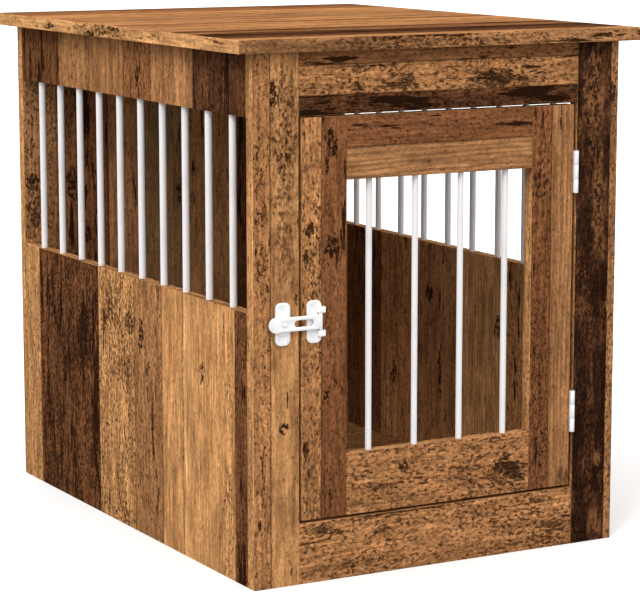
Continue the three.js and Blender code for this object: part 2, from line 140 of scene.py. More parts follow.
class CrateStage(bpy.types.PropertyGroup):
    """The camera, the floor and the light."""
    lens: FloatProperty(
        name="Lens", description="Focal length in millimetres on a 36 mm sensor",
        default=141.04, min=10, max=500,
    )
    camera_place: FloatVectorProperty(
        name="Camera place", description="Where the camera stands",
        default=(-1.4606, -2.6686, 0.7571), subtype="TRANSLATION", unit="LENGTH",
    )
    camera_turn: angle_property("Camera turn", "Turn from straight ahead towards the right", 29.102)
    camera_tilt: angle_property("Camera tilt", "Tilt down from level", 9.341)
    floor: colour_property("Floor", "Pale floor", (236, 236, 236))
    floor_return: colour_property("Floor return", "What the floor throws on the table", (150, 150, 150))
    sky: FloatProperty(name="Sky", description="Brightness of the white surroundings", default=1.48, min=0)
    key: FloatProperty(name="Key light", description="Strength of the key light", default=1.75, min=0)
    key_direction: FloatVectorProperty(
        name="Key direction", description="The way the key light travels, from the upper left in front",
        default=(0.75, 0.5, -0.75), subtype="XYZ",
    )
    key_softness: angle_property("Key softness", "How wide the key light looks", 22)


class CrateSettings(bpy.types.PropertyGroup):
    """Everything that a user would change."""
    wood: PointerProperty(type=CrateWood)
    finish: PointerProperty(type=CrateFinish)
    stage: PointerProperty(type=CrateStage)


def settings():
    return bpy.context.scene.crate_table


AXES = "XYZ"

# The grains of the print: their size along the grain, across it and into the board in metres, how many
# octaves they have, and how rough these are.
GRAINS = {
    "grit": ((0.0055, 0.0035, 0.0035), 3, 0.6), "flake": ((0.022, 0.0075, 0.0075), 6, 0.78),
    "streak": ((0.1, 0.013, 0.013), 7, 0.74), "broad": ((0.28, 0.02, 0.02), 3, 0.5),
    "blotch": ((0.06, 0.022, 0.022), 4, 0.6), "wander": ((0.35, 0.05, 0.05), 2, 0.5),
    "cluster": ((0.08, 0.03, 0.03), 3, 0.5), "scrape": ((0.05, 0.006, 0.006), 5, 0.7),
    "plank edge": ((0.012, 0.006, 0.05), 3, 0.6), "mark edge": ((0.016, 0.006, 0.006), 4, 0.65),
}
FIBRE_OCTAVES = (3, 0.6)
PEPPER_OCTAVES = (4, 0.66)
# How far a grain swings the tone.
SWINGS = {"fibre": 1.5, "broad": 1.0, "streak": 1.8, "flake": 1.4}
# Where the soft thresholds start and end.
STEPS = {
    "blotch": (0.46, 0.64), "smudge": (0.4, 0.56), "cluster": (0.38, 0.62), "knot": (0.4, 0.75),
    "seam": (0.36, 0.54), "mottle": (0.5, 0.57), "bare": (0.45, 0.55), "mark": (0.35, 1.25),
    "worn paint": (0.45, 0.8),
}
# The same for thresholds that move with a plank's traits, counted from where the trait puts them.
RISES = {"specks": (0.0, 0.02), "flakes": (0.005, 0.04), "stains": (0.0, 0.035), "scrapes": (0.0, 0.04)}
# Straight laws: how fast a value grows with another one, and what it is where the other is nothing.
LAWS = {
    "grit swing": (2.6, 0.7), "growth lines": (-0.32, 1.0), "smudge": (0.5, 0.3), "density": (0.75, 0.4),
    "speck start": (-0.186, 0.664), "stain start": (-0.148, 0.628), "scrape start": (-0.12, 0.68),
    "raggedness": (6.0, -5.15), "mottle": (0.75, 0.06), "mark edge": (2.6, -1.3), "slant": (2.6, -1.3),
    "roughness": (0.12, 0.47),
}
# How much of the stain's colour each kind of dark mark takes on.
DARK_SHARES = {"specks": 0.85, "flakes": 0.7, "cuts": 0.6, "stains": 0.95, "knots": 0.95, "seams": 0.75}
BLOTCH_SHARE = 0.4  # of the red in a blotch
SCRAPE_SHARE = 0.6  # of the brown in a scrape
BARE_SHARE = 0.8  # of the brown in a bare mark
RING_WANDER = 5.0  # growth lines that a line strays across at most
RING_SHARPNESS = 2.5  # the power that narrows the growth lines
KNOT_DENSITY = 0.55  # how much denser with specks a knot is
SPECK_DENSITY = 0.4  # and the same for a mark of specks
SPECKS_SHIFT, STAINS_SHIFT = 3.7, 7.9  # metres along the timber that a plank's traits move its grain
FIBRE_ROUGHNESS = 0.16  # how far the fibres swing the gloss
MARK_SINK = 0.6  # how deep a dark mark lies, against a fibre's height
FILM_BUMP = {"Strength": 0.25, "Distance": 0.0004}


class Sheet:
    """Short ways to lay nodes out in a tree and join them."""

    def __init__(self, tree):
        self.tree = tree

    def join(self, value, socket):
        """Joins a socket, or a node's first output, to a socket, or sets the socket to a plain value."""
        if isinstance(value, bpy.types.Node):
            value = value.outputs[0]
        if isinstance(value, bpy.types.NodeSocket):
            self.tree.links.new(value, socket)
        else:
            socket.default_value = value

    def add(self, kind, inputs=None, **features):
        """Adds a node, sets its features, and joins or sets its inputs by name or number."""
        node = self.tree.nodes.new(kind)
        for name, value in features.items():
            setattr(node, name, value)
        for key, value in (inputs or {}).items():
            self.join(value, node.inputs[key])
        return node

    def math(self, operation, *values):
        return self.add("ShaderNodeMath", dict(enumerate(values)), operation=operation).outputs[0]

    def product(self, first, *others):
        for other in others:
            first = self.math("MULTIPLY", first, other)
        return first

    def largest(self, first, *others):
        for other in others:
            first = self.math("MAXIMUM", first, other)
        return first

    def vector(self, operation, *values):
        node = self.add("ShaderNodeVectorMath", dict(enumerate(values)), operation=operation)
        return node.outputs["Value" if operation == "LENGTH" else 0]

    def noise(self, place, size, octaves, roughness):
        """A noise whose grains are as large as the three lengths in size, in metres."""
        scaled = self.vector("MULTIPLY", place, tuple(1 / length for length in size))
        inputs = {"Vector": scaled, "Scale": 1.0, "Detail": octaves, "Roughness": roughness}
        return self.add("ShaderNodeTexNoise", inputs).outputs["Fac"]

    def grain(self, name, place):
        return self.noise(place, *GRAINS[name])

    def swing(self, name, noise):
        """A factor that swings round 1 with a noise, which lies round a half."""
        depth = SWINGS[name]
        return self.math("MULTIPLY_ADD", noise, depth, 1 - depth / 2)

    def law(self, name, value):
        """What one of the straight laws makes of a value."""
        return self.math("MULTIPLY_ADD", value, *LAWS[name])

    def step(self, value, start, end):
        """0 below start, 1 above end, and smooth between them."""
        inputs = {"Value": value, "From Min": start, "From Max": end}
        return self.add("ShaderNodeMapRange", inputs, interpolation_type="SMOOTHSTEP").outputs[0]

    def threshold(self, name, value):
        """A step at one of the fixed thresholds."""
        return self.step(value, *STEPS[name])

    def rise(self, name, value, start):
        """A step at a threshold that moves with a start."""
        first, last = RISES[name]
        return self.step(value, self.math("ADD", start, first), self.math("ADD", start, last))

    def mix(self, share, first, second):
        """Two colours mixed by a share."""
        node = self.add("ShaderNodeMix", data_type="RGBA")
        colour_a, colour_b = [socket for socket in node.inputs if socket.type == "RGBA"]
        self.join(share, node.inputs[0])
        self.join(first, colour_a)
        self.join(second, colour_b)
        return next(socket for socket in node.outputs if socket.type == "RGBA")

    def ramp(self, place, stops):
        """A ramp of flat bands, from (where it starts, colour) pairs. Returns the node."""
        node = self.add("ShaderNodeValToRGB", {"Fac": place})
        ramp = node.color_ramp
        ramp.interpolation = "CONSTANT"
        ramp.elements.remove(ramp.elements[1])
        ramp.elements[0].position = 0
        ramp.elements[0].color = stops[0][1]
        for start, colour in stops[1:]:
            ramp.elements.new(start).color = colour
        return node


# Each size of scratch: its cell, half length and half width in metres, and how likely a cell has one
# where the specks are densest.
SCRATCHES = ((0.0065, 0.003, 0.0009, 0.3), (0.019, 0.009, 0.0011, 0.22))
SOLID_LENGTH, SOLID_WIDTH = 0.6, 0.3  # of a scratch's half sizes, before it fades


def scratches(s, place, scratch, density):
    """Straight short scratches at slants to the grain, one or none in each cell."""
    cell, half_length, half_width, chance = scratch
    scaled = s.vector("MULTIPLY", place, (1 / cell, 1 / cell, 0))
    cells = s.add("ShaderNodeTexVoronoi", {"Vector": scaled, "Scale": 1.0}, voronoi_dimensions="2D")
    luck, slant, _ = s.add("ShaderNodeSeparateColor", {0: cells.outputs["Color"]}).outputs
    offset = s.vector("SUBTRACT", scaled, cells.outputs["Position"])
    turn = s.law("slant", slant)
    turned = s.add("ShaderNodeVectorRotate", {"Vector": offset, "Angle": turn}, rotation_type="Z_AXIS")
    along, across, _ = s.add("ShaderNodeSeparateXYZ", {0: turned}).outputs
    past_end = s.step(s.math("ABSOLUTE", along), SOLID_LENGTH * half_length / cell, half_length / cell)
    past_side = s.step(s.math("ABSOLUTE", across), SOLID_WIDTH * half_width / cell, half_width / cell)
    inside = s.product(s.math("SUBTRACT", 1.0, past_end), s.math("SUBTRACT", 1.0, past_side))
    return s.product(inside, s.math("LESS_THAN", luck, s.product(density, chance)))


TRAITS = ("specks", "stains", "lines", "scrapes", "seam", "knot", "smudge", "bare")


def old_wood_group():
    """The printed old wood: fibres, growth lines, specks, scratches, streaks, scrapes and knots over a
    plank's tone. Place is along the grain, across it and into the board, in metres."""
    existing = bpy.data.node_groups.get("Old wood film")
    if existing:
        return existing
    wood = settings().wood
    tree = bpy.data.node_groups.new("Old wood film", "ShaderNodeTree")
    for name, kind in {"Place": "Vector", "Tone": "Color", **dict.fromkeys(TRAITS, "Float")}.items():
        tree.interface.new_socket(name, in_out="INPUT", socket_type=f"NodeSocket{kind}")
    for name, kind in {"Colour": "Color", "Roughness": "Float", "Height": "Float"}.items():
        tree.interface.new_socket(name, in_out="OUTPUT", socket_type=f"NodeSocket{kind}")
    s = Sheet(tree)
    given = s.add("NodeGroupInput").outputs
    place = given["Place"]
    fibre = s.noise(place, (wood.fibre_length, wood.fibre_width, wood.fibre_width), *FIBRE_OCTAVES)
    pepper = s.noise(place, (wood.speck_length, wood.speck_width, wood.speck_width), *PEPPER_OCTAVES)
    grit, flake, streak = [s.grain(name, place) for name in ("grit", "flake", "streak")]
    # Growth lines wander a little and show only where a plank has them.
    across = s.add("ShaderNodeSeparateXYZ", {0: place}).outputs[1]
    strayed = s.product(s.grain("wander", place), RING_WANDER)
    turns = s.math("ADD", s.math("DIVIDE", across, wood.ring_pitch), strayed)
    wave = s.math("MULTIPLY_ADD", s.math("SINE", s.product(turns, 2 * math.pi)), 0.5, 0.5)
    lines = s.product(s.math("POWER", wave, RING_SHARPNESS), given["lines"])
    # The tone rises and falls with each of the grain's sizes.
    rough = s.law("grit swing", given["specks"])
    shade = s.product(
        s.swing("fibre", fibre), s.math("MULTIPLY_ADD", s.math("SUBTRACT", grit, 0.5), rough, 1.0),
        s.swing("broad", s.grain("broad", place)), s.swing("streak", streak), s.swing("flake", flake),
        s.law("growth lines", lines),
    )
    blotched = s.product(s.threshold("blotch", s.grain("blotch", place)), BLOTCH_SHARE)
    tone = s.mix(blotched, given["Tone"], (*wood.red, 1))
    smudge = s.product(given["smudge"], s.law("smudge", s.threshold("smudge", pepper)))
    tone = s.mix(smudge, tone, (*wood.umber, 1))
    grained = s.vector("SCALE", tone)
    s.join(shade, grained.node.inputs["Scale"])
    # Specks and scratches gather in clusters, and knots are dense with them.
    cluster = s.threshold("cluster", s.grain("cluster", place))
    density = s.product(given["specks"], s.law("density", cluster))
    density = s.math("MULTIPLY_ADD", given["knot"], KNOT_DENSITY, density)
    speck_start = s.law("speck start", density)
    raggedness = s.law("raggedness", s.math("ADD", grit, pepper))
    marks = {
        "specks": s.rise("specks", pepper, speck_start), "flakes": s.rise("flakes", flake, speck_start),
        "cuts": s.largest(*(scratches(s, place, scratch, density) for scratch in SCRATCHES)),
        "stains": s.rise("stains", streak, s.law("stain start", given["stains"])),
        "knots": s.threshold("knot", s.product(given["knot"], raggedness)),
        "seams": s.product(given["seam"], s.threshold("seam", grit)),
    }
    mottle = s.product(s.threshold("mottle", pepper), s.law("mottle", given["specks"]))
    shares = [s.product(marks[kind], share) for kind, share in DARK_SHARES.items()]
    dark = s.largest(mottle, *shares)
    stained = s.mix(dark, grained, (*wood.stain, 1))
    # Scrapes and bare marks show the wood's brown again, over everything.
    scrape_start = s.law("scrape start", given["scrapes"])
    scrapes = s.rise("scrapes", s.grain("scrape", place), scrape_start)
    coarse = s.product(s.math("ADD", pepper, flake), 0.5)
    bare = s.product(given["bare"], s.threshold("bare", coarse))
    worn = s.largest(s.product(scrapes, SCRAPE_SHARE), s.product(bare, BARE_SHARE))
    gloss = s.math("MULTIPLY_ADD", fibre, FIBRE_ROUGHNESS, s.law("roughness", dark))
    s.add("NodeGroupOutput", {
        "Colour": s.mix(worn, stained, (*wood.brown, 1)), "Roughness": gloss,
        "Height": s.math("SUBTRACT", fibre, s.product(dark, MARK_SINK)),
    })
    return tree


Plank = namedtuple("Plank", "start tone specks stains lines scrapes", defaults=(0, 0, 0, 0))
Plank.__doc__ = "One plank of the print: its start across the board in mm, its tone, 0 to 1 of each trait."


def mark_channels(s, place, marks):
    """The four traits that a board's marks raise, each 0 to 1."""
    channels = {"knot": 0.0, "specks": 0.0, "smudge": 0.0, "bare": 0.0}
    if not marks:
        return channels
    jitter = s.law("mark edge", s.grain("mark edge", place))
    for kind, along, across, length, width in marks:
        centre = (along * MM, across * MM, 0)
        spread = (1 / (length * MM), 1 / (width * MM), 0)
        offset = s.vector("MULTIPLY", s.vector("SUBTRACT", place, centre), spread)
        reach = s.math("ADD", s.vector("LENGTH", offset), jitter)
        share = s.math("SUBTRACT", 1.0, s.threshold("mark", reach))
        channels[kind] = s.math("MAXIMUM", share, channels[kind])
    return channels


def blank_material(name):
    """A new material without nodes, and the sheet for them."""
    material = bpy.data.materials.new(name)
    material.use_nodes = True
    material.node_tree.nodes.clear()
    return material, Sheet(material.node_tree)


def third_axis(first, second):
    return next(axis for axis in AXES if axis not in (first, second))


def wood_material(name, along, across, low, high, planks, marks=(), seed=0.0, stretch=1.0):
    """A board's film: planks side by side along one axis of the frame, from low to high in metres.
    Stretch lengthens the grain."""
    wood = settings().wood
    planks = [Plank(*plank) for plank in planks]
    material, s = blank_material(name)
    spot = s.add("ShaderNodeTexCoord").outputs["Object"]
    parts = s.add("ShaderNodeSeparateXYZ", {0: spot}).outputs
    order = (along, across, third_axis(along, across))
    place = s.add("ShaderNodeCombineXYZ", {i: parts[axis] for i, axis in enumerate(order)})
    wobble = s.math("SUBTRACT", s.grain("plank edge", place), 0.5)
    edge = s.math("MULTIPLY_ADD", wobble, 2 * wood.ragged_edge, parts[across])
    share = s.add("ShaderNodeMapRange", {"Value": edge, "From Min": low, "From Max": high})
    starts = [max(0.0, (plank.start * MM - low) / (high - low)) for plank in planks]
    tones = [(start, (*getattr(wood, plank.tone), 1)) for start, plank in zip(starts, planks)]
    traits = [(start, (p.specks, p.stains, p.lines, p.scrapes)) for start, p in zip(starts, planks)]
    trait = s.ramp(share, traits)
    specks, stains, lines = s.add("ShaderNodeSeparateColor", {0: trait}).outputs
    half_seam = wood.seam_width / (high - low) / 2
    seams = [(0, (0, 0, 0, 1))]
    for start in starts[1:]:
        seams += [(start - half_seam, (1, 1, 1, 1)), (start + half_seam, (0, 0, 0, 1))]
    # Each plank shows another length of timber, and so does each board.
    shift = s.math("MULTIPLY_ADD", stains, STAINS_SHIFT, seed)
    shift = s.math("MULTIPLY_ADD", specks, SPECKS_SHIFT, shift)
    moved = s.vector("ADD", place, s.add("ShaderNodeCombineXYZ", {0: shift, 2: seed}))
    channels = mark_channels(s, place, marks)
    specks = s.math("MULTIPLY_ADD", channels["specks"], SPECK_DENSITY, specks)
    film = s.add("ShaderNodeGroup", {
        **channels, "Place": s.vector("MULTIPLY", moved, (1 / stretch, 1.0, 1.0)),
        "Tone": s.ramp(share, tones), "seam": s.ramp(share, seams), "specks": specks, "stains": stains,
        "lines": lines, "scrapes": trait.outputs["Alpha"],
    }, node_tree=old_wood_group()).outputs
    shader = s.add("ShaderNodeBsdfPrincipled", {
        "Base Color": film["Colour"], "Roughness": film["Roughness"], "Specular IOR Level": 0.0,
        "Normal": s.add("ShaderNodeBump", {"Height": film["Height"], **FILM_BUMP}),
    })
    s.add("ShaderNodeOutputMaterial", {"Surface": shader})
    return material


STRIP_REACH = 1.0  # metres to both sides of the frame's middle, past any board


def strip_material(name, along, across, plank, seed):
    """An edge strip in one plank's film."""
    planks = [(-STRIP_REACH / MM, *plank)]
    return wood_material(name, along, across, -STRIP_REACH, STRIP_REACH, planks, seed=seed)


def edge_material(along, across):
    """The strip that finishes a board's narrow sides, its grain along one axis of the frame, made once."""
    name = f"edge_strip_{along.lower()}_{across.lower()}"
    existing = bpy.data.materials.get(name)
    return existing or strip_material(name, along, across, ("light", 0.3, 0.12, 0.25), 31.0)


# Each metal finish: whose colour it has, how metallic and how rough it is, and its skin's grain in metres.
FINISHES = {
    "zinc_steel": ("zinc", 1.0, 0.34, 0.0008), "white_bar": ("bar_paint", 0.0, 0.5, 0.0016),
    "white_fitting": ("fitting_paint", 0.0, 0.45, 0.0012),
}
SKIN_OCTAVES = (2, 0.5)
CLOUD = ((0.03, 0.03, 0.06), 3, 0.55)  # the wear's size in metres, its octaves and their roughness
WORN_TONE = 0.86  # of the paint, where it is worn
GLOSS_SWING = 0.16  # of the roughness, with the wear
SKIN_BUMP = {"Strength": 0.12, "Distance": 0.0001}


def finish_material(slot):
    """One of the metal finishes, made once: a fine uneven skin, a little wear in gloss and colour."""
    name = f"{slot}_skin"
    existing = bpy.data.materials.get(name)
    if existing:
        return existing
    colour_name, metallic, roughness, grain = FINISHES[slot]
    colour = getattr(settings().finish, colour_name)
    worn = tuple(channel * WORN_TONE for channel in colour)
    material, s = blank_material(name)
    spot = s.add("ShaderNodeTexCoord").outputs["Object"]
    cloud = s.noise(spot, *CLOUD)
    skin = s.noise(spot, (grain, grain, grain), *SKIN_OCTAVES)
    shader = s.add("ShaderNodeBsdfPrincipled", {
        "Base Color": s.mix(s.threshold("worn paint", cloud), (*colour, 1), (*worn, 1)),
        "Roughness": s.math("MULTIPLY_ADD", cloud, GLOSS_SWING, roughness - GLOSS_SWING / 2),
        "Normal": s.add("ShaderNodeBump", {"Height": skin, **SKIN_BUMP}), "Metallic": metallic,
        "Specular IOR Level": 0.25,
    })
    s.add("ShaderNodeOutputMaterial", {"Surface": shader})
    return material


BOARD_EDGE_ANGLE = math.radians(35)  # edges sharper than this are rounded
FITTING_EDGE_ANGLE = math.radians(40)
FLAT_ANGLE = math.radians(1)
MERGE_DISTANCE = 0.001 * MM


def placed(name, data):
    """A new object in the scene."""
    thing = bpy.data.objects.new(name, data)
    bpy.context.scene.collection.objects.link(thing)
    return thing


def flat_copy(node):
    """A copy of a CAD node's mesh with its loose triangles merged into whole faces."""
    mesh = frame["nodes"][node].data.copy()
    shape = bmesh.new()
    shape.from_mesh(mesh)
    bmesh.ops.remove_doubles(shape, verts=shape.verts, dist=MERGE_DISTANCE)
    bmesh.ops.dissolve_limit(
        shape, angle_limit=FLAT_ANGLE, verts=shape.verts, edges=shape.edges, delimit={"NORMAL"},
    )
    shape.to_mesh(mesh)
    shape.free()
    mesh.materials.clear()
    return mesh


def rounded(mesh, name, width, angle):
    """An object of a mesh with its sharp edges rounded, the rounding applied."""
    mesh.name = name
    mesh.shade_smooth()
    thing = placed(name, mesh)
    bevel = thing.modifiers.new("Rounding", "BEVEL")
    bevel.width = width
    bevel.segments = 2
    bevel.limit_method = "ANGLE"
    bevel.angle_limit = angle
    bevel.harden_normals = True
    apply_modifiers(thing)
    return thing


def apply_modifiers(thing):
    """Gives an object its modifiers' result as its plain mesh."""
    graph = bpy.context.evaluated_depsgraph_get()
    made = bpy.data.meshes.new_from_object(thing.evaluated_get(graph), depsgraph=graph)
    made.name = thing.name
    thing.modifiers.clear()
    thing.data = made


def settle(piece, node, replaced):
    """Puts a finished piece on the body of a CAD node, in place of the nodes that it replaces."""
    body = frame["nodes"][node]["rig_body"]
    if replaced:
        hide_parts(*replaced)
    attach(piece, body)


def build_board(node, along, across, planks, marks=(), seed=0.0, edges=None, stretch=1.0):
    """A board: the CAD board with rounded edges, film on its faces and strips on its narrow sides."""
    low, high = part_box(node)
    span = AXES.index(across)
    into = third_axis(along, across)
    piece = rounded(flat_copy(node), f"{node}_board", settings().finish.board_rounding, BOARD_EDGE_ANGLE)
    film = wood_material(f"film_{node}", along, across, low[span], high[span], planks, marks, seed, stretch)
    strips = {axis: (edges or {}).get(axis) or edge_material(axis, into) for axis in (along, across)}
    for material in (film, strips[along], strips[across]):
        piece.data.materials.append(material)
    for face in piece.data.polygons:
        faces = AXES[max(range(3), key=lambda i: abs(face.normal[i]))]
        face.material_index = 0 if faces == into else 1 if faces == across else 2
    settle(piece, node, [node])


# The planks that are printed on each board: (start in mm, tone, specks, stains, lines, scrapes), and
# its marks: (kind, along, across, half length, half width in mm).
def build_table_top():
    low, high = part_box("top_panel")
    marks = [
        ("smudge", -41, 594, 120, 12), ("specks", -20, 592, 110, 8), ("knot", -20, 598, 60, 1.5),
        ("specks", 110, 592, 50, 8), ("knot", 214, 593, 5, 3), ("knot", 255, 594, 4, 4),
    ]
    planks = [(585, "fawn", 0.3, 0.25, 0.2, 0.2)]
    front_strip = wood_material("edge_strip_front", "X", "Z", low.z, high.z, planks, marks, seed=12.0)
    marks = [
        ("knot", 168, 592, 18, 5), ("smudge", 20, 592, 90, 10), ("specks", 20, 592, 80, 8),
        ("knot", 50, 588, 22, 3), ("knot", -20, 596, 20, 3), ("specks", -130, 592, 22, 6),
    ]
    planks = [(585, "pale", 0.12, 0.1, 0.2, 0.1)]
    left_strip = wood_material("edge_strip_left", "Y", "Z", low.z, high.z, planks, marks, seed=13.0)
    planks = [
        (-335, "tan", 0.2, 0.1, 0.4), (-306, "umber", 0.3, 0.6, 0.3), (-262, "black", 0.3, 0.6, 0, 0.5),
        (-225, "brown", 0.2, 0.6), (-190, "umber", 0.2, 0.6), (-165, "tan", 0.1, 0.5, 0.5),
        (-98, "tan", 0.1, 0.35, 0.5), (-36, "brown", 0.2, 0.5, 0.2), (-14, "tan", 0.1, 0.45, 0.4),
        (60, "fawn", 0.1, 0.5, 0.3), (136, "tan", 0.1, 0.4), (235, "brown", 0.2, 0.5),
        (308, "dark", 0.2, 0.6),
    ]
    marks = [
        ("smudge", -120, -60, 200, 7), ("smudge", 60, -30, 150, 5), ("smudge", -20, 90, 170, 9),
        ("smudge", 150, 20, 90, 7), ("knot", 40, 130, 26, 12), ("smudge", -60, 200, 140, 10),
        ("knot", -100, -120, 120, 3), ("knot", 90, -100, 110, 3), ("knot", 10, 10, 150, 2.5),
    ]
    edges = {"X": front_strip, "Y": left_strip}
    build_board("top_panel", "X", "Y", planks, marks, seed=2.0, edges=edges, stretch=2.6)


def build_back_panel():
    planks = [
        (-237, "fawn", 0.5, 0.3), (-192, "olive", 0.45, 0.35), (-181, "brown", 0.3, 0.4, 0.1),
        (-164, "red", 0.3, 0.6), (-120, "fawn", 0.15, 0.3, 0.6), (-70, "olive", 0.1, 0.2, 0.3),
        (-10, "fawn", 0.15, 0.3, 0.3), (62, "umber", 0.3, 0.6, 0, 0.5), (112, "light", 0.3, 0.2, 0.4),
        (176, "fawn", 0.45, 0.4, 0.1),
    ]
    marks = [
        ("knot", 382, -226, 14, 9), ("specks", 352, -222, 34, 14), ("knot", 379, -171, 24, 10),
        ("knot", 310, -149, 12, 7), ("knot", 361, -13, 18, 8), ("knot", 240, 140, 20, 8),
        ("smudge", 470, -176, 60, 12),
    ]
    build_board("back_panel", "Z", "X", planks, marks, seed=5.0)


def build_floor_panel():
    # Painted light: these tones are set lighter than the board's own, to stand in for light that hardly
    # reaches the cabinet's floor.
    planks = [
        (-308, "tan", 0.3, 0.3), (-150, "fawn", 0.3, 0.4), (-40, "tan", 0.3, 0.3, 0.1),
        (70, "fawn", 0.2, 0.4), (190, "light", 0.3, 0.3),
    ]
    build_board("floor_panel", "X", "Y", planks, seed=9.0)


def build_left_side():
    planks = [
        (-308, "dark", 0.5, 0.75, 0, 0.3), (-279, "light", 0.12, 0.1, 0.4), (-176, "pale", 0.05, 0, 0.5),
        (-150, "light", 0.1, 0.05, 0.3), (-95, "fawn", 0.35, 0.4, 0.1), (-21, "light", 0.55, 0.2),
        (83, "dark", 0.8, 0.55, 0, 0.75), (263, "light", 0.35, 0.15, 0.1),
    ]
    marks = [
        ("knot", 250, -4, 20, 17), ("smudge", 188, 18, 18, 24), ("knot", 241, -37, 22, 10),
        ("knot", 145, -66, 26, 4), ("knot", 104, -68, 20, 4), ("knot", 221, -197, 16, 6),
        ("specks", 207, -266, 70, 10), ("specks", 60, -262, 60, 14), ("specks", 10, 12, 22, 24),
        ("bare", 86, 177, 42, 4), ("bare", 41, 175, 24, 5), ("bare", 146, 250, 20, 3),
        ("knot", 150, 96, 150, 13), ("knot", 220, 130, 50, 20), ("knot", 250, 225, 36, 12),
        ("knot", 110, 240, 60, 8), ("smudge", 180, 190, 110, 60), ("specks", 230, 30, 70, 40),
    ]
    build_board("left_lower_panel", "Z", "Y", planks, marks, seed=14.0)
    # The rail's tones are partly painted shade: they are set darker than the side's planks below, to stand
    # in for the shade under the top's overhang.
    planks = [
        (-308, "umber", 0.6, 0.5), (-181, "fawn", 0.2, 0.1, 0.1), (-73, "brown", 0.35, 0.4, 0.1),
        (2, "fawn", 0.12, 0.05, 0.5), (100, "fawn", 0.3, 0.15), (190, "dark", 0.35, 0.65, 0.1, 0.6),
    ]
    marks = [("knot", 541, -34, 20, 6), ("bare", 545, 268, 12, 4), ("bare", 560, 192, 8, 3)]
    build_board("left_upper_rail", "Z", "Y", planks, marks, seed=17.0)


def build_right_side():
    # Painted light: this side's plank tones are set lighter than their own, to make up for the little light
    # that reaches the cabinet's inside, where they are seen.
    planks = [
        (-308, "tan", 0.4, 0.2), (-236, "light", 0.2, 0.1, 0.4), (-166, "fawn", 0.3, 0.4, 0.2),
        (-123, "pale", 0.1, 0.1, 0.8), (-15, "fawn", 0.25, 0.3), (104, "tan", 0.3, 0.25, 0.1),
        (183, "dark", 0.3, 0.5, 0, 0.4), (271, "tan", 0.4, 0.2),
    ]
    marks = [
        ("knot", 141, 35, 40, 5), ("knot", 219, -100, 16, 9), ("knot", 238, 62, 14, 10),
        ("knot", 120, 150, 22, 9), ("specks", 90, -200, 40, 24),
    ]
    dark_strip = strip_material("edge_strip_dark", "Y", "X", ("dark", 0.4, 0.3), 32.0)
    build_board("right_lower_panel", "Z", "Y", planks, marks, seed=21.0, edges={"Z": dark_strip})
    planks = [
        (-308, "brown", 0.4, 0.3), (-214, "light", 0.2, 0.1, 0.3), (-96, "dark", 0.4, 0.6, 0, 0.4),
        (28, "tan", 0.4, 0.2, 0.1), (151, "light", 0.2, 0.1, 0.4), (226, "brown", 0.4, 0.4),
    ]
    build_board("right_upper_rail", "Z", "Y", planks, [("knot", 545, 70, 18, 8)], seed=24.0)


def build_front_frame():
    marks = [
        ("knot", 541, -212, 18, 5), ("specks", 479, -233, 12, 5), ("specks", 448, -231, 14, 5),
        ("specks", 409, -226, 18, 7), ("specks", 422, -201, 30, 14), ("knot", 376, -233, 18, 1.2),
        ("bare", 329, -187, 5, 4), ("knot", 316, -184, 10, 2), ("specks", 100, -229, 14, 8),
        ("knot", 178, -199, 6, 9), ("knot", 209, -195, 10, 1.6), ("knot", 19, -191, 10, 2),
        ("smudge", 490, -197, 110, 20), ("smudge", 370, -199, 50, 14), ("specks", 480, -200, 100, 14),
        ("specks", 350, -226, 40, 8),
    ]
    planks = [(-237, "tan", 0.35, 0.1, 0.15), (-215.6, "light", 0.12, 0.05)]
    build_board("frame_left_stile", "Z", "X", planks, marks, seed=27.0)
    marks = [
        ("bare", 407, 212, 70, 10), ("bare", 345, 220, 14, 6), ("bare", 98, 217, 10, 7),
        ("bare", 22, 214, 28, 11), ("bare", 520, 203, 70, 18), ("knot", 522, 229, 14, 5),
    ]
    planks = [(180, "black", 0.8, 0.5, 0, 0.45), (226, "fawn", 0.55, 0.25)]
    build_board("frame_right_stile", "Z", "X", planks, marks, seed=33.0)
    marks = [
        ("specks", -110, 552, 12, 16), ("specks", -51, 550, 22, 16), ("knot", -105, 567, 42, 1.2),
        ("knot", 73, 549, 40, 9), ("specks", 73, 552, 60, 18),
    ]
    # The brown plank along the rail's top is partly painted shade: it stands in for the shade under the
    # top's overhang.
    planks = [(516, "umber", 0.6, 0.6), (537, "tan", 0.58, 0.25), (570, "brown", 0.3, 0.4)]
    build_board("frame_top_rail", "X", "Z", planks, marks, seed=36.0)
    marks = [
        ("specks", -152, 57, 18, 9), ("specks", -76, 38, 22, 13), ("specks", 129, 52, 14, 10),
        ("specks", 156, 24, 20, 12), ("specks", 145, 8, 30, 10), ("knot", -40, 67, 84, 1.6),
    ]
    build_board("frame_bottom_rail", "X", "Z", [(0, "tan", 0.58, 0.08)], marks, seed=39.0)


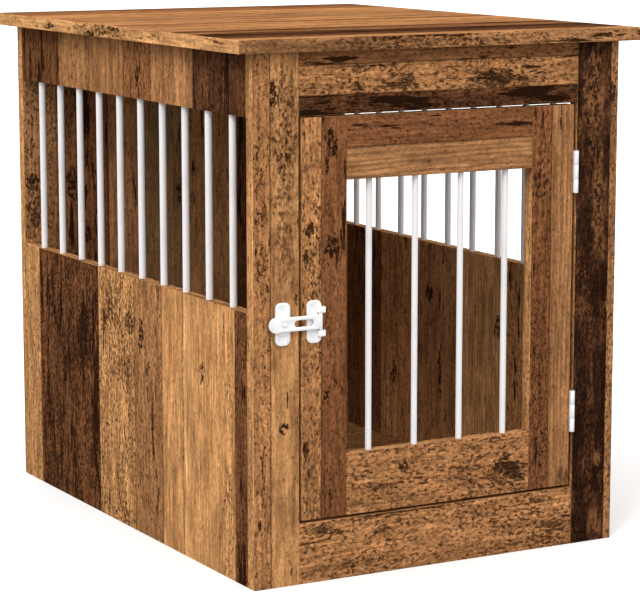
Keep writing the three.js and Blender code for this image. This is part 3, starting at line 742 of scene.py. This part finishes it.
def build_door_boards():
    marks = [
        ("knot", 394, -166, 9, 7), ("knot", 362, -172, 16, 3), ("knot", 486, -141, 20, 9),
        ("knot", 463, -146, 14, 3), ("knot", 374, -139, 14, 13), ("knot", 209, -147, 11, 6),
        ("specks", 219, -133, 12, 10), ("specks", 101, -142, 16, 12), ("knot", 148, -172, 12, 4),
        ("knot", 123, -169, 10, 2),
    ]
    planks = [(-177, "tan", 0.55, 0.1), (-153, "red", 0.35, 0.25)]
    build_board("door_left_stile", "Z", "X", planks, marks, seed=43.0)
    marks = [
        ("specks", 429, 133, 26, 13), ("knot", 494, 158, 22, 1.2), ("smudge", 82, 167, 14, 14),
        ("knot", 120, 130, 26, 1.6),
    ]
    planks = [(119, "red", 0.45, 0.25), (146, "fawn", 0.15, 0.1, 0.8)]
    build_board("door_right_stile", "Z", "X", planks, marks, seed=46.0)
    planks = [(444, "fawn", 0.12, 0.05, 1.0), (480, "red", 0.3, 0.4, 0.2)]
    build_board("door_top_rail", "X", "Z", planks, seed=49.0)
    marks = [
        ("specks", -105, 111, 26, 16), ("knot", -48, 118, 8, 5), ("knot", 87, 103, 18, 13),
        ("knot", 103, 92, 10, 11), ("smudge", 31, 104, 24, 16), ("specks", 80, 100, 40, 24),
    ]
    build_board("door_bottom_rail", "X", "Z", [(71, "tan", 0.57, 0.08)], marks, seed=52.0)


def row_tree(name, inputs):
    """A new geometry tree with the inputs of any straight row, and more of its own. Returns its sheet, its
    inputs' sockets, the row's points and the inputs' identifiers."""
    tree = bpy.data.node_groups.new(name, "GeometryNodeTree")
    for_any_row = {
        "Count": ("Int", 2), "First": ("Vector", (0, 0, 0)), "Step": ("Vector", (0, 0, 0.03)),
        "Material": ("Material", None),
    }
    identifiers = {}
    for key, (kind, default) in {**for_any_row, **inputs}.items():
        socket = tree.interface.new_socket(key, in_out="INPUT", socket_type=f"NodeSocket{kind}")
        if default is not None:
            socket.default_value = default
        identifiers[key] = socket.identifier
    tree.interface.new_socket("Geometry", in_out="OUTPUT", socket_type="NodeSocketGeometry")
    s = Sheet(tree)
    given = s.add("NodeGroupInput").outputs
    line = {"Count": given["Count"], "Start Location": given["First"], "Offset": given["Step"]}
    return s, given, s.add("GeometryNodeMeshLine", line, mode="OFFSET"), identifiers


def finish_tree(s, instances, material):
    """Ends a geometry tree: its instances become plain geometry in one material."""
    real = s.add("GeometryNodeRealizeInstances", {0: instances})
    painted = s.add("GeometryNodeSetMaterial", {"Geometry": real, "Material": material})
    s.add("NodeGroupOutput", {0: painted})


BAR_AXIS_POINTS = 4  # the bar's ends, and where its chamfers start
BAR_SMOOTH_ANGLE = math.radians(30)


def bar_row_tree():
    """A straight row of upright round bars with chamfered ends."""
    s, given, row, identifiers = row_tree("Bar row", {
        "Length": ("Float", 0.2), "Radius": ("Float", 0.004), "Chamfer": ("Float", 0.0006),
        "Sides": ("Int", 32),
    })
    axis = s.add("GeometryNodeCurvePrimitiveLine", {"End": (0, 0, 1)})
    points = s.add("GeometryNodeResampleCurve", {"Curve": axis, "Count": BAR_AXIS_POINTS})
    index = s.add("GeometryNodeInputIndex").outputs[0]
    middle = (BAR_AXIS_POINTS - 1) / 2
    upper = s.math("GREATER_THAN", index, middle)
    end = s.math("GREATER_THAN", s.math("ABSOLUTE", s.math("SUBTRACT", index, middle)), middle - 0.5)
    inset = s.product(s.math("SUBTRACT", 1.0, end), given["Chamfer"])
    from_top = s.math("SUBTRACT", given["Length"], s.product(inset, 2.0))
    height = s.math("MULTIPLY_ADD", upper, from_top, inset)
    spot = s.add("ShaderNodeCombineXYZ", {2: height})
    moved = s.add("GeometryNodeSetPosition", {"Geometry": points, "Position": spot})
    thinner = s.product(end, given["Chamfer"])
    share = s.math("DIVIDE", s.math("SUBTRACT", given["Radius"], thinner), given["Radius"])
    narrowed = s.add("GeometryNodeSetCurveRadius", {"Curve": moved, "Radius": share})
    circle = s.add("GeometryNodeCurvePrimitiveCircle", {
        "Resolution": given["Sides"], "Radius": given["Radius"],
    })
    bar = s.add("GeometryNodeCurveToMesh", {"Curve": narrowed, "Profile Curve": circle, "Fill Caps": True})
    bars = s.add("GeometryNodeInstanceOnPoints", {"Points": row, "Instance": bar})
    finish_tree(s, bars, given["Material"])
    return s.tree, identifiers


def grown(name, tree, identifiers, values):
    """An object whose mesh is what a geometry tree makes of the values, by the inputs' names."""
    thing = placed(name, bpy.data.meshes.new(name))
    modifier = thing.modifiers.new("Shape", "NODES")
    modifier.node_group = tree
    for key, value in values.items():
        modifier[identifiers[key]] = value
    apply_modifiers(thing)
    # The tree's own mesh has an empty slot in front of the material that it sets.
    thing.data.materials.clear()
    thing.data.materials.append(values["Material"])
    for face in thing.data.polygons:
        face.material_index = 0
    return thing


def outward(mesh):
    """Turns every face of a closed mesh to point out, its doubles merged first."""
    shape = bmesh.new()
    shape.from_mesh(mesh)
    bmesh.ops.remove_doubles(shape, verts=shape.verts, dist=MERGE_DISTANCE)
    bmesh.ops.recalc_face_normals(shape, faces=shape.faces)
    shape.to_mesh(mesh)
    shape.free()


def build_bar_row(tree, identifiers, name, nodes):
    """Round bars in place of the CAD bars, which stand in one straight row."""
    finish = settings().finish
    boxes = [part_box(node) for node in nodes]
    centres = [(low + high) / 2 for low, high in boxes]
    low, high = boxes[0]
    piece = grown(name, tree, identifiers, {
        "Count": len(nodes), "First": (centres[0].x, centres[0].y, low.z),
        "Step": (centres[-1] - centres[0]) / (len(nodes) - 1), "Length": high.z - low.z,
        "Radius": (high.x - low.x) / 2, "Chamfer": finish.bar_end, "Sides": finish.bar_sides,
        "Material": finish_material("white_bar"),
    })
    outward(piece.data)
    piece.data.shade_smooth()
    piece.data.set_sharp_from_angle(angle=BAR_SMOOTH_ANGLE)
    settle(piece, nodes[0], nodes)


FORWARD = 0.99  # how far forward the normal of a forward face points, of 1
DEPTH_DIGITS = 5  # of a depth in metres


def front_of_plate(node):
    """Where a plate's broad front lies: the depth that the most of its forward faces share."""
    areas = {}
    for face in flat_copy(node).polygons:
        if face.normal.y < -FORWARD:
            depth = round(face.center.y, DEPTH_DIGITS)
            areas[depth] = areas.get(depth, 0) + face.area
    return max(areas, key=areas.get)


def build_fitting(node, slot):
    """A metal fitting: the CAD fitting with its edges rounded, painted or plated."""
    rounding = settings().finish.fitting_rounding
    piece = rounded(flat_copy(node), f"{node}_finished", rounding, FITTING_EDGE_ANGLE)
    piece.data.materials.append(finish_material(slot))
    settle(piece, node, [node])


def nodes_named(start):
    """The CAD nodes whose names start with a word, in order."""
    return sorted(name for name in frame["nodes"] if name.startswith(start))


ScrewSize = namedtuple("ScrewSize", "head_radius head_height shank_radius length cross_depth")
ScrewSize.__doc__ = "The sizes of a countersunk screw with a cross in its head, in metres."
SCREW_SIDES = 20
SCREW_SLOT_WIDTH = 0.8 * MM
SCREW_CROSS_REACH = 0.625  # of the head's radius
SCREW_RIM = 0.15 * MM
SCREW_POINT = 2.5 * MM  # length of the point
SCREW_TIP_RADIUS, SCREW_TIP_HEIGHT = 0.3, 0.4  # of the shank's radius
SCREW_HEAD_PLAY = 0.1 * MM  # room between a head and the hole that it sinks into
HINGE_SCREW = ScrewSize(
    head_radius=2.5 * MM, head_height=1 * MM, shank_radius=1.3 * MM, length=13 * MM, cross_depth=0.7 * MM,
)


def screw_template(size):
    """A countersunk screw that faces up, the top of its head at the origin."""
    shank, tip = size.shank_radius, -size.length
    profile = [
        (0, tip), (shank * SCREW_TIP_RADIUS, tip + shank * SCREW_TIP_HEIGHT), (shank, tip + SCREW_POINT),
        (shank, -size.head_height), (size.head_radius, -SCREW_RIM), (size.head_radius - SCREW_RIM, 0),
    ]
    shape = bmesh.new()
    rings = [[shape.verts.new((0, 0, tip))]]
    angles = [2 * math.pi * i / SCREW_SIDES for i in range(SCREW_SIDES)]
    for radius, height in profile[1:]:
        ring = [(radius * math.cos(angle), radius * math.sin(angle), height) for angle in angles]
        rings.append([shape.verts.new(corner) for corner in ring])
    for lower, upper in zip(rings, rings[1:]):
        for i in range(SCREW_SIDES):
            j = (i + 1) % SCREW_SIDES
            corners = [lower[i % len(lower)], lower[j % len(lower)], upper[j], upper[i]]
            shape.faces.new(list(dict.fromkeys(corners)))
    # A quarter of the cross's outline runs from the middle of one arm's end to the next arm.
    half_arm = SCREW_SLOT_WIDTH / 2
    reach = size.head_radius * SCREW_CROSS_REACH
    quarter = [(reach, 0), (reach, half_arm), (half_arm, half_arm), (half_arm, reach)]
    mouth, bottom = [], []
    for turn in range(4):
        for across, up in quarter:
            for _ in range(turn):
                across, up = -up, across
            mouth.append(shape.verts.new((across, up, 0)))
            bottom.append(shape.verts.new((across, up, -size.cross_depth)))
    for i in range(len(mouth)):
        shape.faces.new([mouth[i - 1], mouth[i], bottom[i], bottom[i - 1]])
    shape.faces.new(bottom)
    quarter_sides = SCREW_SIDES // 4
    for turn in range(4):
        outer = [rings[-1][(turn * quarter_sides + i) % SCREW_SIDES] for i in range(quarter_sides + 1)]
        inner = [mouth[(turn * len(quarter) + i) % len(mouth)] for i in range(len(quarter) + 1)]
        shape.faces.new(outer + inner[::-1])
    bmesh.ops.recalc_face_normals(shape, faces=shape.faces)
    mesh = bpy.data.meshes.new("screw")
    shape.to_mesh(mesh)
    shape.free()
    return placed("screw", mesh)


def screw_row_tree():
    """Screws in a straight line, each with its cross turned by a fixed chance."""
    s, given, row, identifiers = row_tree("Screw row", {
        "Screw": ("Object", None), "Facing": ("Vector", (0, 0, 0)), "Seed": ("Int", 4),
    })
    chance = s.add("FunctionNodeRandomValue", data_type="FLOAT")
    limits = {socket.name: socket for socket in chance.inputs if socket.enabled}
    s.join(math.pi, limits["Max"])
    s.join(given["Seed"], limits["Seed"])
    turned = next(socket for socket in chance.outputs if socket.enabled)
    spin = s.add("ShaderNodeCombineXYZ", {2: turned})
    screw = s.add("GeometryNodeObjectInfo", {"Object": given["Screw"]}).outputs["Geometry"]
    screws = s.add("GeometryNodeInstanceOnPoints", {
        "Points": row, "Instance": screw, "Rotation": given["Facing"],
    })
    spun = s.add("GeometryNodeRotateInstances", {"Instances": screws, "Rotation": spin})
    finish_tree(s, spun, given["Material"])
    return s.tree, identifiers


def build_screws(name, row, size, slot, node, replaced, values):
    """A row of screws on a CAD node's body, in place of the CAD's own screws if it has them."""
    template = screw_template(size)
    piece = grown(name, *row, {"Screw": template, "Material": finish_material(slot), **values})
    bpy.data.objects.remove(template)
    settle(piece, node, replaced)


HINGE_LEAVES = [(hinge, leaf) for hinge in ("upper_hinge", "lower_hinge") for leaf in ("frame", "door")]

SENSOR_WIDTH = 36  # millimetres
LENS_REACH = 200  # metres
FLOOR_HALF_SIZE = 40  # metres
FLOOR_ROUGHNESS = 0.9


class CRATE_OT_stage(bpy.types.Operator):
    """Sets the camera, the pale floor and the soft studio light"""
    bl_idname = "crate_table.stage"
    bl_label = "Camera, floor and light"

    def execute(self, context):
        stage = settings().stage
        scene = context.scene
        lens = bpy.data.cameras.new("camera")
        lens.lens = stage.lens
        lens.sensor_width = SENSOR_WIDTH
        lens.clip_end = LENS_REACH
        camera = placed("camera", lens)
        camera.location = stage.camera_place
        camera.rotation_euler = (math.pi / 2 - stage.camera_tilt, 0, -stage.camera_turn)
        scene.camera = camera
        scene.view_settings.view_transform = "Standard"
        # The surroundings are white to the camera and brighter for the table.
        world = bpy.data.worlds.new("white surroundings")
        world.use_nodes = True
        s = Sheet(world.node_tree)
        seen = s.add("ShaderNodeLightPath").outputs["Is Camera Ray"]
        background = world.node_tree.nodes["Background"]
        background.inputs["Color"].default_value = (1, 1, 1, 1)
        s.join(s.math("MULTIPLY_ADD", seen, 1 - stage.sky, stage.sky), background.inputs["Strength"])
        scene.world = world
        sun = bpy.data.lights.new("key light", "SUN")
        sun.energy = stage.key
        sun.angle = stage.key_softness
        key = placed("key light", sun)
        key.rotation_euler = Vector(stage.key_direction).to_track_quat("-Z", "Y").to_euler()
        size = FLOOR_HALF_SIZE
        mesh = bpy.data.meshes.new("floor")
        corners = [(-size, -size, 0), (size, -size, 0), (size, size, 0), (-size, size, 0)]
        mesh.from_pydata(corners, [], [(0, 1, 2, 3)])
        floor = placed("floor", mesh)
        # The floor is paler to the camera than what it throws on the table.
        material = bpy.data.materials.new("pale floor")
        material.use_nodes = True
        shader = material.node_tree.nodes["Principled BSDF"]
        s = Sheet(material.node_tree)
        seen = s.add("ShaderNodeLightPath").outputs["Is Camera Ray"]
        s.join(s.mix(seen, (*stage.floor_return, 1), (*stage.floor, 1)), shader.inputs["Base Color"])
        shader.inputs["Roughness"].default_value = FLOOR_ROUGHNESS
        shader.inputs["Specular IOR Level"].default_value = 0
        mesh.materials.append(material)
        return {"FINISHED"}


class CRATE_OT_cabinet_boards(bpy.types.Operator):
    """Builds the cabinet's boards in old wood film"""
    bl_idname = "crate_table.cabinet_boards"
    bl_label = "Cabinet boards"

    def execute(self, context):
        build_table_top()
        build_back_panel()
        build_floor_panel()
        build_left_side()
        build_right_side()
        build_front_frame()
        return {"FINISHED"}


class CRATE_OT_door_boards(bpy.types.Operator):
    """Builds the door's stiles and rails in old wood film"""
    bl_idname = "crate_table.door_boards"
    bl_label = "Door boards"

    def execute(self, context):
        build_door_boards()
        return {"FINISHED"}


class CRATE_OT_bars(bpy.types.Operator):
    """Builds the white bars of the side windows and the door"""
    bl_idname = "crate_table.bars"
    bl_label = "Bars"

    def execute(self, context):
        tree, identifiers = bar_row_tree()
        for row in ("left_side_bar", "right_side_bar", "door_bar"):
            build_bar_row(tree, identifiers, f"{row}s", nodes_named(row))
        return {"FINISHED"}


class CRATE_OT_hinges(bpy.types.Operator):
    """Builds the two butt hinges"""
    bl_idname = "crate_table.hinges"
    bl_label = "Hinges"

    def execute(self, context):
        for hinge in ("upper_hinge", "lower_hinge"):
            for leaf in ("frame_leaf", "door_leaf"):
                build_fitting(f"{hinge}_{leaf}", "white_fitting")
            build_fitting(f"{hinge}_pin", "zinc_steel")
        return {"FINISHED"}


class CRATE_OT_latch(bpy.types.Operator):
    """Builds the flip latch: two plates, the strap and its pin"""
    bl_idname = "crate_table.latch"
    bl_label = "Latch"

    def execute(self, context):
        for node in ("latch_keeper_plate", "latch_door_plate", "latch_strap"):
            build_fitting(node, "white_fitting")
        build_fitting("latch_pin", "zinc_steel")
        return {"FINISHED"}


class CRATE_OT_screws(bpy.types.Operator):
    """Builds the countersunk screws of the hinges and the latch plates"""
    bl_idname = "crate_table.screws"
    bl_label = "Screws"

    def execute(self, context):
        row = screw_row_tree()
        for seed, (hinge, leaf) in enumerate(HINGE_LEAVES, 1):
            nodes = nodes_named(f"{hinge}_{leaf}_screw")
            boxes = [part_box(node) for node in nodes]
            middles = [(low + high) / 2 for low, high in boxes]
            side, facing = (0, -math.pi / 2) if leaf == "frame" else (1, math.pi / 2)
            build_screws(f"{hinge}_{leaf}_screws", row, HINGE_SCREW, "zinc_steel", nodes[0], nodes, {
                "Count": len(nodes), "First": (boxes[0][side].x, middles[0].y, middles[0].z),
                "Step": middles[1] - middles[0], "Facing": (0, facing, 0), "Seed": seed,
            })
        # In each latch plate there is one screw above the strap and one below it.
        finish = settings().finish
        latch_screw = ScrewSize(
            head_radius=finish.latch_head - SCREW_HEAD_PLAY, head_height=1 * MM, shank_radius=1.3 * MM,
            length=11 * MM, cross_depth=0.25 * MM,
        )
        # Both plates are as wide as the keeper; the door plate's box takes in its ears.
        low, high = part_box("latch_keeper_plate")
        half_width = (high.x - low.x) / 2
        for seed, node in enumerate(("latch_keeper_plate", "latch_door_plate"), 11):
            low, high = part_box(node)
            foot = (low.z + high.z - finish.latch_screw_pitch) / 2
            build_screws(f"{node}_screws", row, latch_screw, "white_fitting", node, [], {
                "Count": 2, "First": (low.x + half_width, front_of_plate(node), foot),
                "Step": (0, 0, finish.latch_screw_pitch), "Facing": (math.pi / 2, 0, 0), "Seed": seed,
            })
        return {"FINISHED"}


class CRATE_PT_panel(bpy.types.Panel):
    """Lists the crate table's pieces and settings"""
    bl_idname = "CRATE_PT_panel"
    bl_label = "Crate table"
    bl_space_type = "VIEW_3D"
    bl_region_type = "UI"
    bl_category = "Crate table"

    def draw(self, context):
        layout = self.layout
        for operator in OPERATORS:
            layout.operator(operator.bl_idname)
        for group in (settings().wood, settings().finish, settings().stage):
            box = layout.box()
            for name in group.__annotations__:
                box.prop(group, name)


OPERATORS = (
    CRATE_OT_stage, CRATE_OT_cabinet_boards, CRATE_OT_door_boards, CRATE_OT_bars,
    CRATE_OT_hinges, CRATE_OT_latch, CRATE_OT_screws,
)
CLASSES = (CrateWood, CrateFinish, CrateStage, CrateSettings, *OPERATORS, CRATE_PT_panel)


def register():
    for cls in CLASSES:
        bpy.utils.register_class(cls)
    bpy.types.Scene.crate_table = PointerProperty(type=CrateSettings)


def unregister():
    del bpy.types.Scene.crate_table
    for cls in reversed(CLASSES):
        bpy.utils.unregister_class(cls)


def main():
    register()
    bpy.ops.crate_table.stage()
    bpy.ops.crate_table.cabinet_boards()
    bpy.ops.crate_table.door_boards()
    bpy.ops.crate_table.bars()
    bpy.ops.crate_table.hinges()
    bpy.ops.crate_table.latch()
    bpy.ops.crate_table.screws()


if __name__ == "__main__":
    main()
